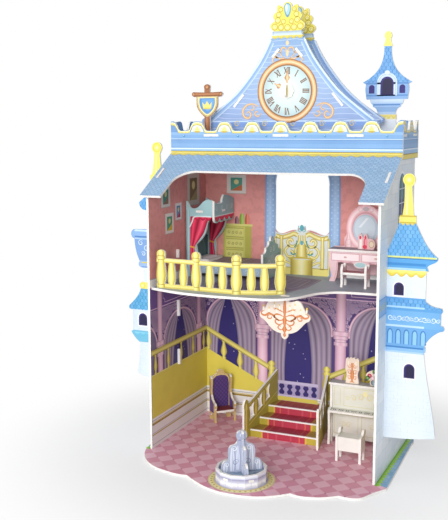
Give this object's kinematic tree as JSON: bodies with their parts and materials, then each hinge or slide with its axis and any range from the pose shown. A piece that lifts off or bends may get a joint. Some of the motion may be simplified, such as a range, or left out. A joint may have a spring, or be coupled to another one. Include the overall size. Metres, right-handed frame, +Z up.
{
  "type": "cardboard castle",
  "caption": "Two-storey play castle of folded, printed and slotted card with an open front, battlements, gables, side towers, a fitted stair, furniture and a fountain.",
  "frame": {"origin": "centre of the walls' footprint, on the underside of the base plate", "axes": "+Z up; +X to the castle's right as seen from its open front; +Y from the open front to the back wall"},
  "size_m": [0.3519, 0.2184, 0.4596],
  "materials": {
    "base_print": "printed card, pink brick colours",
    "furniture_print": "printed card, purple and gold",
    "printed_board": "printed card, matte, with white cut edges",
    "roof_print": "printed card, plum tile colours",
    "stone_print": "printed card, pale stone colours",
    "water_print": "printed card, pale blue water colours"
  },
  "bodies": {
    "root": {"armchair_back": "furniture_print", "armchair_left_side": "furniture_print", "armchair_right_side": "furniture_print", "armchair_seat": "furniture_print", "back_parapet": "stone_print", "back_wall": "stone_print", "balcony_balustrade": "printed_board", "base_plate": "base_print", "bed_base": "furniture_print", "bed_canopy": "furniture_print", "bed_curtain_back": "furniture_print", "bed_curtain_front": "furniture_print", "bed_footboard": "furniture_print", "bed_headboard": "furniture_print", "bed_pillow": "furniture_print", "bed_valance": "furniture_print", "chandelier": "printed_board", "clock_boss": "printed_board", "clock_gable": "printed_board", "clock_peg": "printed_board", "dressing_bottles": "furniture_print", "dressing_mirror": "furniture_print", "dressing_stool_left_end": "furniture_print", "dressing_stool_right_end": "furniture_print", "dressing_stool_seat": "furniture_print", "dressing_table_body": "furniture_print", "dressing_table_top": "furniture_print", "first_floor": "printed_board", "fountain_basin": "stone_print", "fountain_jet_cross": "water_print", "fountain_jet_wide": "water_print", "fountain_water": "water_print", "front_roof": "roof_print", "gable_roof_left": "roof_print", "gable_roof_right": "roof_print", "left_parapet": "stone_print", "left_tower": "stone_print", "left_wall": "stone_print", "pennant": "printed_board", "piano_flowers": "furniture_print", "piano_left_side": "furniture_print", "piano_lid": "furniture_print", "piano_lower_panel": "furniture_print", "piano_ornament": "furniture_print", "piano_right_side": "furniture_print", "piano_shelf": "furniture_print", "piano_stool_left_end": "furniture_print", "piano_stool_right_end": "furniture_print", "piano_stool_seat": "furniture_print", "piano_upper_panel": "furniture_print", "rear_gable": "printed_board", "right_parapet": "stone_print", "right_tower": "stone_print", "right_wall": "stone_print", "roof_deck": "stone_print", "roof_spire": "stone_print", "stair_flight": "stone_print", "stair_side_left": "stone_print", "stair_side_right": "stone_print"}
  },
  "joints": []
}
